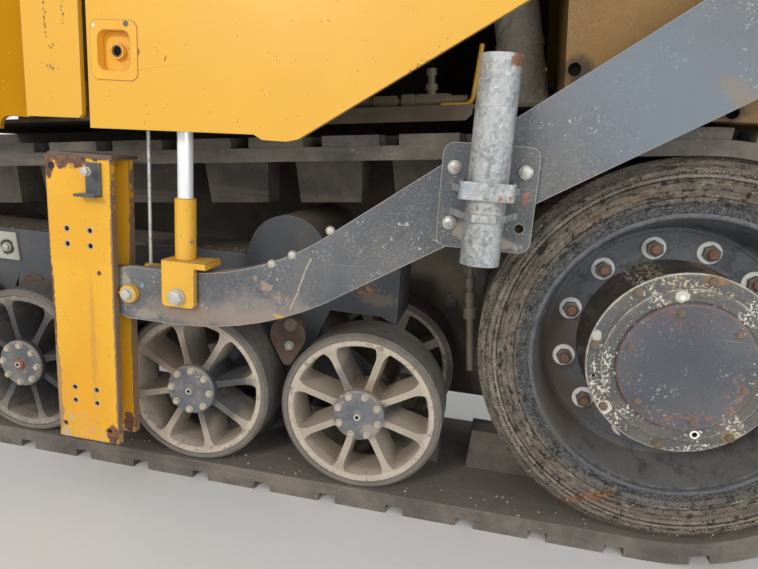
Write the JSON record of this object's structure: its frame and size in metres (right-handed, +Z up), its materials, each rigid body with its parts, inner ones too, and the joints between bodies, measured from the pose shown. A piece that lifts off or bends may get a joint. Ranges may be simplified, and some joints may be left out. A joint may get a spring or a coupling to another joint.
{
  "type": "asphalt paver track undercarriage",
  "caption": "Rubber-belt track undercarriage of an asphalt paver, with spoked bogie wheels, drive wheel, tow arm on a lifting cylinder, mast tube and hinged yellow side door.",
  "frame": {"origin": "on the ground under the middle of the part's box", "axes": "+X towards the machine's rear, +Y inboard towards the machine's middle, +Z up"},
  "size_m": [3.6646, 0.718, 1.345],
  "materials": {
    "belt_rubber": "dusty black rubber belt",
    "tyre_rubber": "worn rubber caked with asphalt dust",
    "dark_steel": "dark blue-grey paint, dusty",
    "hub_paint": "dark paint chipped white at the edge",
    "cover_worn": "worn red-brown and grey-blue paint",
    "frame_black": "black paint with dust",
    "bare_steel": "dull bare steel",
    "dusty_casting": "cast iron under brown dust",
    "cap_grey": "worn blue-grey paint",
    "rusty_steel": "rusty dark steel",
    "pale_paint": "pale grey-green paint",
    "yellow_post": "warm yellow paint, rusty at edges",
    "arm_grey": "dark blue-grey paint, scratched and dusty",
    "yellow_trim": "chipped yellow paint",
    "galvanised": "galvanised steel with spangle",
    "chrome_rod": "polished chrome",
    "zinc": "zinc-plated steel",
    "yellow_panel": "warm yellow paint, semi-gloss",
    "yellow_frame": "dusty yellow paint",
    "deck_steel": "dusty black sheet steel",
    "brass_fitting": "dusty brass and steel fittings"
  },
  "bodies": {
    "chassis": {"belt": "belt_rubber", "drive_tyres": "tyre_rubber", "drive_rims": "dark_steel", "final_drive": "hub_paint", "drive_cover": "cover_worn", "drive_housing": "frame_black", "idler_tyres": "tyre_rubber", "idler_rims": "dark_steel", "idler_axle": "bare_steel", "tension_barrel": "frame_black", "bogie_tyres": "tyre_rubber", "bogie_wheels": "dusty_casting", "bogie_caps": "cap_grey", "bogie_axles": "bare_steel", "bogie_arms": "frame_black", "bogie_pivots": "rusty_steel", "track_frame": "frame_black", "cross_tubes": "frame_black", "side_frame": "frame_black", "stop_discs": "rusty_steel", "adapter_plate": "pale_paint", "scraper": "bare_steel", "post_plate": "yellow_post", "post_channel": "yellow_post", "post_beam": "frame_black", "post_cap": "rusty_steel", "post_angle": "bare_steel", "tow_barrel": "frame_black", "hinge_leaves": "zinc", "front_panel": "yellow_panel", "fender_panel": "yellow_panel", "top_rail": "yellow_frame", "cross_beams": "yellow_frame", "pillars": "yellow_frame", "top_sheet": "deck_steel", "deck": "deck_steel", "inner_wall": "deck_steel", "rear_tank": "yellow_panel", "valve": "brass_fitting", "guard_rod": "yellow_trim", "duct": "dusty_casting"},
    "rod": {"tow_rod": "chrome_rod", "clevis": "yellow_trim", "clevis_pin": "zinc", "level_rod": "zinc"},
    "arm": {"tow_arm": "arm_grey", "nose_pin": "yellow_trim", "screed_plate": "arm_grey", "mast_plate": "arm_grey", "mast_shelves": "galvanised", "mast_tube": "galvanised"},
    "block": {"nose_block": "bare_steel"},
    "door_leaf": {"door": "yellow_panel", "door_latch": "yellow_trim", "door_knuckles": "zinc"}
  },
  "joints": [
    {"name": "height_slide", "type": "slide", "parent": "chassis", "child": "rod", "axis": [0, 0, 1], "range_m": [-0.18, 0.14]},
    {"name": "arm_hinge", "type": "hinge", "parent": "rod", "child": "arm", "pos_m": [-0.01448, -0.224, 0.504], "axis": [0, -1, 0], "range_deg": [-10, 0]},
    {"name": "block_hinge", "type": "hinge", "parent": "arm", "child": "block", "pos_m": [-0.13448, -0.224, 0.495], "axis": [0, -1, 0], "range_deg": [0, 10]},
    {"name": "door_hinge", "type": "hinge", "parent": "chassis", "child": "door_leaf", "pos_m": [0.22353, -0.269, 1.328], "axis": [-1, 0, 0], "range_deg": [0, 85]}
  ],
  "couplings": [
    {"joint": "block_hinge", "follows": "arm_hinge", "ratio": -1}
  ]
}
